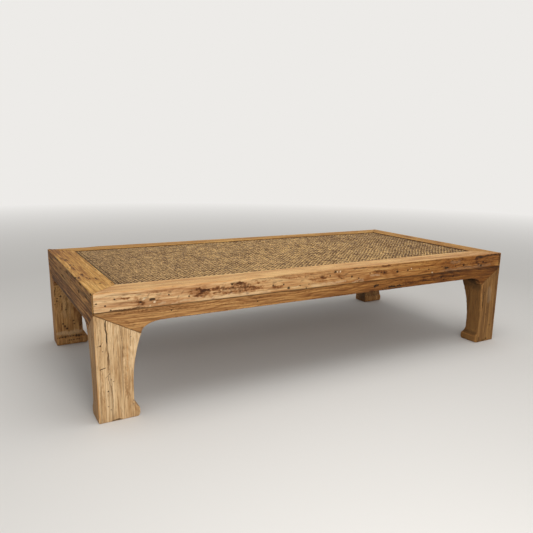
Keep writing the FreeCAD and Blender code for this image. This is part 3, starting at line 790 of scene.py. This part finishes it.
BACK_LEFT_LEG_FLAWS = flaws_on(
    "front",
    *spots("hole", (5.0, 2.5), [(-795, 200), (-809, 181), (-790, 84), (-784, 73), (-777, 63)]),
    *spots("hole", (3.8, 2.0), [(-807, 192), (-749, 80), (-751, 93), (-728, 71), (-776, 142), (-818, 168)]),
    *spots("hole", (3.6, 2.0), [(-809, 32), (-797, 32), (-767, 32), (-757, 33), (-726, 32), (-773, 19),
        (-766, 18), (-757, 19), (-744, 19), (-737, 19)]),
    *spots("hole", (6.0, 2.5), [(-787, 32), (-745, 33), (-736, 32)]),
    # Painted shade along the nook above the lip, over the row of worm holes
    ("stain_and_shade", 5, (-812, 33), (-770, 33), (-722, 33)),
    # Painted highlight where the curve above the nook faces up to the light
    ("sap_and_highlight", 10, (-817, 47), (-770, 46), (-722, 47)),
    ("rub", 2.6, (-815, 27), (-712, 27)),
) + flaws_on(
    "top",
    *spots("hole", (5.0, 1.5), [(-811, 302), (-799, 301), (-769, 302), (-758, 301), (-727, 302)]),
    *spots("hole", (6.5, 2.0), [(-787, 302), (-747, 302), (-738, 301)]),
    # Painted shade in the nook, on its upward part
    ("stain_and_shade", 6, (-812, 302), (-770, 302), (-720, 302)),
) + flaws_on(
    "front",
    ("crack_and_shade", (2.2, 1.5), (-812, 240), (-816, 222), (-815, 200)),
    ("burl", 4, (-790, 172), (-795, 150), (-797, 128)),
    # Painted shadow of the left apron, down the right of the front face
    ("stain_and_shade", 9, (-728, 150), (-722, 110), (-722, 75)),
    # Painted shadow at the top of the front face, under the apron
    ("shade_and_grime", 8, (-812, 285), (-801, 268)),
    ("faded", 11, (-786, 235), (-783, 170), (-783, 110)),
    ("faded", 6, (-764, 215), (-762, 150), (-763, 105)),
    ("stain_and_shade", 3, (-774, 225), (-773, 170), (-775, 110)),
    # Painted shade where the toe flares out on the right
    ("stain_and_shade", 7, (-716, 62)),
) + flaws_on(
    "left",
    ("sap_and_highlight", 8, (404, 280), (402, 150), (400, 20)),
)
FRONT_RIGHT_LEG_FLAWS = flaws_on(
    "front",
    *spots("hole", (3.0, 2.0), [(740, 214), (735, 159), (789, 69), (760, 120)]),
    ("hole", (5.0, 3.0), (776, 10)),
    ("gap", (3, 4), (755, 3), (776, 8)),
    ("rub", 4.5, (734, 257), (724, 250), (722, 222), (727, 172), (732, 135)),
    ("crack_and_shade", (3.6, 2.0), (739, 214), (737, 190), (736, 172), (736, 148)),
    ("check", (3.0, 0.8), (724, 131), (722, 100), (722, 66)),
    # Painted sheen: a broad pale patch high on the front face
    ("faded", 14, (770, 235), (769, 205), (772, 170)),
    ("check", 1.6, (762, 235), (767, 190), (772, 120), (777, 83)),
    ("tint", 5, (810, 300), (811, 160), (808, 20)),
) + flaws_on(
    "left",
    # Painted shadow under the apron: the top of this inner face near black
    ("shade_and_grime", 18, (-404, 260), (-380, 255), (-340, 262)),
    ("crack_and_shade", 17, (-404, 268), (-335, 268)),
) + flaws_on(
    "front",
    ("crack_and_shade", (3, 2.0), (729, 2), (730, 20)),
) + flaws_on(
    "left",
    # Painted shade, softer, just below that painted shadow
    ("stain_and_shade", 18, (-400, 240), (-325, 244)),
    ("stain_and_shade", 7, (-400, 38), (-320, 38)),
    ("rub", 2.2, (-400, 27), (-316, 27)),
) + flaws_on(
    "front",
    ("faded", 3, (722, 262), (765, 288), (812, 316)),
) + flaws_on(
    "left",
    ("check", (2.0, 0.8), (-345, 240), (-350, 190), (-346, 130)),
)
BACK_RIGHT_LEG_FLAWS = flaws_on(
    "left",
    # Painted shade: a broad dark patch low on the inner face
    ("shade_and_grime", 55, (352, 28)),
) + flaws_on(
    "front",
    ("stain_and_shade", 7, (722, 36), (765, 33), (812, 36)),
    ("stain_and_shade", 14, (720, 52), (812, 52)),
)


def from_mat_edge(x, y):
    """How far inside the mat's nearest edge a place lies."""
    return np.minimum.reduce([x - MAT_LOW.x, MAT_HIGH.x - x, y - MAT_LOW.y, MAT_HIGH.y - y])


def mat_noise(places, cell, seed, layers=2):
    """Layered noise in plan, at each place of the mat."""
    flat = (places * (1, 1, 0)).reshape(-1, 3)
    return layered_noise(flat, cell, seed, layers).reshape(places.shape[:2])


def woven_places():
    """Where the strands cross, as an array (strand across, strand along, 3).

    The strands stand a pitch apart, with a wider gap inside the band of three at each edge. Two noises,
    a slow one of a few millimetres and a quick one of one, push them out of line, less near the edges,
    away from which the mat swells up.
    """
    plan = []
    for axis in (0, 1):
        room = MAT_HIGH[axis] - MAT_LOW[axis] - 2 * EDGE_GAP - 2 * BAND_GAP
        count = 4 * round(room / STRAND_PITCH / 4)
        number = np.arange(count)
        place = (number + 0.5) * room / count + BAND_GAP * (
            1.0 * (number >= BAND_STRANDS) + (number >= count - BAND_STRANDS))
        plan.append(MAT_LOW[axis] + EDGE_GAP + place)
    across, along = np.meshgrid(*plan, indexing="ij")
    places = np.stack([across, along, 0 * across], axis=-1)
    inside = from_mat_edge(across, along)
    loose = smooth_step(inside, 3 * MM, 60 * MM)
    bent = smooth_step(inside, 3 * MM, 15 * MM)
    shove = []
    for seed in (3, 8):
        slow = mat_noise(places, 110 * MM, seed) - 0.5
        quick = mat_noise(places, 24 * MM, seed + 20) - 0.5
        shove.append(slow * loose * SLOW_SHOVE + quick * bent * QUICK_SHOVE)
    swell = 0.4 + 0.6 * mat_noise(places, 160 * MM, 33)
    rise = MAT_SWELL * smooth_step(inside, 10 * MM, 200 * MM) * swell
    return np.stack([across + shove[0], along + shove[1], MAT_HIGH.z - 0.1 * MM + rise], axis=-1)


def cane_strands(name, side, centres, shade, hollow):
    """Flat strands with a crowned top, three points at each crossing.

    centres are (strands, stations, 3) places of the crown, side the unit vector across a strand in plan.
    The two edges lie half a strand's width to each side and a little lower. Both ends are closed by a
    triangle.
    """
    ring = np.repeat(centres[:, :, None, :], 3, axis=2)
    ring[:, :, 0, :2] += np.array(side) * STRAND_WIDTH / 2
    ring[:, :, 1, :2] -= np.array(side) * STRAND_WIDTH / 2
    ring[:, :, :2, 2] -= STRAND_CROWN
    index = np.arange(ring[..., 0].size).reshape(ring.shape[:3])
    here, there = index[:, :-1], index[:, 1:]
    rolled = [np.roll(part, -1, axis=2) for part in (here, there)]
    quads = np.stack([here, there, rolled[1], rolled[0]], axis=-1).reshape(-1, 4)
    caps = np.concatenate([index[:, 0], index[:, -1, ::-1]])
    mesh = bpy.data.meshes.new(name)
    corners = np.concatenate([quads.ravel(), caps.ravel()])
    starts = np.concatenate([np.arange(len(quads)) * 4, len(quads) * 4 + np.arange(len(caps)) * 3])
    mesh.vertices.add(index.size)
    mesh.vertices.foreach_set("co", ring.astype(np.float32).ravel())
    mesh.loops.add(len(corners))
    mesh.loops.foreach_set("vertex_index", corners.astype(np.int32))
    mesh.polygons.add(len(starts))
    mesh.polygons.foreach_set("loop_start", starts.astype(np.int32))
    mesh.update(calc_edges=True)
    mesh.validate()
    body = bmesh.new()
    body.from_mesh(mesh)
    bmesh.ops.recalc_face_normals(body, faces=body.faces)
    body.to_mesh(mesh)
    body.free()
    paint(mesh, "shade", np.repeat(shade.ravel(), 3))
    paint(mesh, "hollow", np.repeat(hollow.ravel(), 3))
    mesh.materials.append(cane)
    piece = add_object(name, mesh)
    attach(piece, "root")
    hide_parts("woven_mat")


def weave_mat():
    """Twill of two over and two under.

    The strand across is on top where its number less the crossing strand's, divided by four, leaves 0 or
    1, and the strand along is on top elsewhere. That draws ribs that slant at 45 degrees, and a painted
    sheen makes the strands across lighter than the strands along. Each strand and each crossing has a
    shade of its own, every fourth strand is lighter, the mat is faded and mottled round its middle and
    ribbed most towards its left end, and dirt and painted shade lie along its edges and where a strand
    dives under.
    """
    place = woven_places()
    numbers = np.indices(place.shape[:2])
    across_up = np.mod(numbers[0] - numbers[1], 4) < 2
    rng = np.random.default_rng(41)
    cloud = mat_noise(place, 80 * MM, 15, 3)
    speck = mat_noise(place, 12 * MM, 16)
    faded = np.interp(place[..., 0], FADED_AT, FADED)
    mottled, ribbed = (np.interp(place[..., 0], MAT_STEPS, values) for values in (MOTTLED, RIBBED))
    rim = 1 - smooth_step(from_mat_edge(place[..., 0], place[..., 1]), 3 * MM, 9 * MM)
    for way, word, sides, strand_sheen in ((0, "across", ("left", "right"), ACROSS_SHEEN),
                                   (1, "along", ("front", "back"), ALONG_SHEEN)):
        up = ~across_up if way else across_up
        own = rng.random(place.shape[way]) + 1.1 * (np.arange(place.shape[way]) % 4 == 1) - 0.2
        own = own[None, :] if way else own[:, None]
        # Strands across carry a lighter painted sheen than strands along, scaled by how ribbed the mat is there
        shade = strand_sheen * ribbed + 0.3 * own + 0.4 * (cloud - 0.5) + mottled * (speck - 0.5) + faded + 0.1
        shade = shade + 0.7 * (rng.random(up.shape) - 0.5)
        # Where a strand dives under, and near the mat's edges, it is painted darker: dirt and painted shade
        hollow = np.where(up, 0.1 * cloud + 0.3 * rim, 0.85 + 0.15 * cloud)
        centres = place.copy()
        centres[..., 2] -= np.where(up, 0, STRAND_DIVE)
        stacks = [np.swapaxes(array, 0, 1) if way else array for array in (centres, shade, hollow)]
        half = len(stacks[0]) // 2
        for side, part in zip(sides, (slice(0, half), slice(half, None))):
            cane_strands(f"cane_{word}_{side}", (1 - way, way), *(array[part] for array in stacks))


def make_camera():
    data = bpy.data.cameras.new("camera")
    data.sensor_width = 36
    data.lens = FOCAL_PIXELS / PICTURE_PIXELS * data.sensor_width
    data.shift_x = 0.5 - OPTICAL_AXIS_PIXEL[0] / PICTURE_PIXELS
    data.shift_y = OPTICAL_AXIS_PIXEL[1] / PICTURE_PIXELS - 0.5
    camera = add_object("camera", data)
    turn = Matrix.Rotation(math.radians(-CAMERA_AZIMUTH), 4, "Z")
    turn @= Matrix.Rotation(math.radians(90 - CAMERA_DIP), 4, "X")
    turn @= Matrix.Rotation(math.radians(CAMERA_ROLL), 4, "Z")
    camera.matrix_world = Matrix.Translation(CAMERA_PLACE) @ turn
    bpy.context.scene.camera = camera


def make_lamp(name, place, target, size, power):
    data = bpy.data.lights.new(name, "AREA")
    data.shape = "DISK"
    data.size = size
    data.energy = power
    lamp = add_object(name, data)
    lamp.location = place
    lamp.rotation_euler = (Vector(target) - Vector(place)).to_track_quat("-Z", "Y").to_euler()


def make_world():
    """An even studio: soft white light on the table, and a pale backdrop where the camera looks past it."""
    world = bpy.data.worlds.new("studio")
    bpy.context.scene.world = world
    world.use_nodes = True
    tree = world.node_tree
    tree.nodes.clear()
    seen = 0.0
    for ray in ("Is Camera Ray", "Is Glossy Ray", "Is Transmission Ray"):
        seen = node(tree, "Math", {0: seen, 1: node(tree, "LightPath", out=ray)}, operation="MAXIMUM")
    light = node(tree, "Background", {"Color": (1, 1, 1, 1), "Strength": STUDIO_LIGHT})
    shown = node(tree, "Background", {"Color": linear(BACKDROP_PALE), "Strength": 1.0})
    mixed = node(tree, "MixShader", {0: seen, 1: light, 2: shown})
    node(tree, "OutputWorld", {"Surface": mixed})


def make_floor():
    """A plain pale floor disc that fades into the backdrop far behind the table."""
    material, tree = new_material("matt_studio_floor")
    place = node(tree, "TexCoord", out="Object")
    far = node(tree, "VectorMath", {0: place}, operation="LENGTH", out="Value")
    fade = node(tree, "MapRange", {"Value": far, "From Min": 2.0, "From Max": 7.0})
    seen = node(tree, "LightPath", out="Is Camera Ray")
    fade = node(tree, "Math", {0: fade, 1: seen}, operation="MULTIPLY")
    matt = node(tree, "BsdfPrincipled", {"Base Color": linear(FLOOR_PALE), "Roughness": 0.9,
                                         "Specular IOR Level": 0.2})
    plain = node(tree, "Emission", {"Color": linear(BACKDROP_PALE), "Strength": 1.0})
    node(tree, "OutputMaterial", {"Surface": node(tree, "MixShader", {0: fade, 1: matt, 2: plain})})
    turn = np.linspace(0, 2 * np.pi, FLOOR_CORNERS, endpoint=False)
    rim = FLOOR_RADIUS * np.stack([np.cos(turn), np.sin(turn), 0 * turn], axis=1)
    mesh = bpy.data.meshes.new("floor")
    mesh.from_pydata(rim.tolist(), [], [list(range(FLOOR_CORNERS))])
    mesh.materials.append(material)
    floor = add_object("floor", mesh)


make_camera()
bpy.context.scene.view_settings.view_transform = "Standard"
make_world()
make_floor()
make_lamp("front_lamp", (-0.75, -2.2, 1.05), (-0.45, -0.41, 0.2), 0.9, 17)
make_lamp("overhead_lamp", (0.1, -0.5, 2.6), (0.0, 0.0, 0.37), 2.4, 30)

cane = split_cane()
weave_mat()

# The front rail darkens towards the right: its own browner wood, with painted shade where the light falls off
worn_wood("long_rail_front", "x", 1, FRAME_PALETTE, (0, -0.30, 0.28), (0.16, 0.22, 0.39, 0.52, 0.66),
          (0.21, 0.21, 0.25, 0.4), (0.0, 0.2, 0.5, 1.0, 1.0), top_honey=0.5,
          flaws=FRONT_RAIL_FLAWS + RECESS_SHADE_AND_GRIME["back"])
worn_wood("long_rail_back", "x", 2, TOP_PALETTE, (0, 0.44, 0.30), (0.4, 0.5), (0.45, 0.42), (0.3, 0.3),
          flaws=WORN_BACK + RECESS_SHADE_AND_GRIME["front"] + chance_flaws("back", (-800, 740), (326, 372), 46, 102))
worn_wood("short_rail_left", "y", 3, TOP_PALETTE, (-0.72, 0, 0.27), (0.36, 0.42, 0.56), (0.28, 0.38, 0.7),
          flaws=LEFT_RAIL_FLAWS + WORN_BACK + RECESS_SHADE_AND_GRIME["right"])
worn_wood("short_rail_right", "y", 4, TOP_PALETTE, (0.83, 0, 0.28), (0.5, 0.5), (0.45, 0.42), (0.3, 0.3),
          flaws=WORN_BACK + RECESS_SHADE_AND_GRIME["left"] + chance_flaws("right", (-400, 340), (326, 372), 24, 104)
          + chance_flaws("top", (725, 812), (-300, 330), 12, 204, 1))

# The front apron darkens towards the right: its own browner wood, with painted shade where the light falls off
worn_wood("apron_front", "x", 5, APRON_PALETTE, (0, -0.36, 0.20), (0.42, 0.36, 0.46, 0.74, 0.82), (0.5, 0.5),
          (0.0, 0.1, 0.5, 1.0, 1.0), inside=0.6, rings=0.28, flaws=FRONT_APRON_FLAWS)
worn_wood("apron_back", "x", 6, APRON_PALETTE, (0, 0.36, 0.22), (0.45, 0.6), (0.5, 0.5), rings=0.28,
          flaws=chance_flaws("back", (-700, 640), (290, 312), 26, 106))
worn_wood("apron_left", "y", 7, APRON_PALETTE, (-0.77, 0, 0.21), (0.46, 0.5), (0.5, 0.5), inside=0.6,
          flaws=LEFT_APRON_FLAWS + chance_flaws("left", (-290, 250), (292, 312), 7, 107))
worn_wood("apron_right", "y", 8, APRON_PALETTE, (0.77, 0, 0.22), (0.5, 0.6), (0.5, 0.5), rings=0.28,
          flaws=chance_flaws("right", (-290, 250), (292, 312), 12, 108))

worn_wood("leg_front_left", "z", 9, LEG_PALETTE, (-0.70, -0.33, 0), (0.32, 0.24, 0.22, 0.27), (0.3, 0.3),
          left_shade_and_weathering=0.8, flaws=FRONT_LEFT_LEG_FLAWS)
# A small negative inside paints its inner faces, the front one among them, a little lighter: painted light
worn_wood("leg_back_left", "z", 10, APRON_PALETTE, (-0.70, 0.44, 0), (0.34, 0.28, 0.16, 0.36), (0.3, 0.3),
          inside=-0.05, left_shade_and_weathering=0.7,
          flaws=BACK_LEFT_LEG_FLAWS + chance_flaws("back", (-812, -730), (20, 300), 16, 110, 1))
worn_wood("leg_front_right", "z", 11, RIGHT_LEG_DARK_AND_SHADED_PALETTE, (0.70, -0.33, 0), (0.37, 0.4, 0.4, 0.4), (0.35, 0.35),
          (0.35, 0.35), inside=0.03, left_shade_and_weathering=0.45,
          flaws=FRONT_RIGHT_LEG_FLAWS + chance_flaws("right", (-400, -325), (20, 300), 14, 111, 1))
worn_wood("leg_back_right", "z", 12, APRON_PALETTE, (0.70, 0.33, 0), (0.42, 0.5, 0.5), (0.4, 0.4), inside=0.0,
          left_shade_and_weathering=0.6,
          flaws=BACK_RIGHT_LEG_FLAWS + chance_flaws("back", (735, 812), (20, 300), 14, 112, 1)
          + chance_flaws("right", (325, 400), (20, 300), 14, 212, 1))

boards = sawn_softwood("sawn_softwood_boards", "x", 21)
battens = sawn_softwood("sawn_softwood_battens", "y", 22)
joints = old_elm("waxed_old_elm_joint_pieces", "z", 23, FRAME_PALETTE, base=0.35)
for name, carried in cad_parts.items():
    if not carried.hide_render:
        finish = boards if name.startswith("panel") else battens if name.startswith("batten") else joints
        for place in carried.material_slots:
            place.material = finish
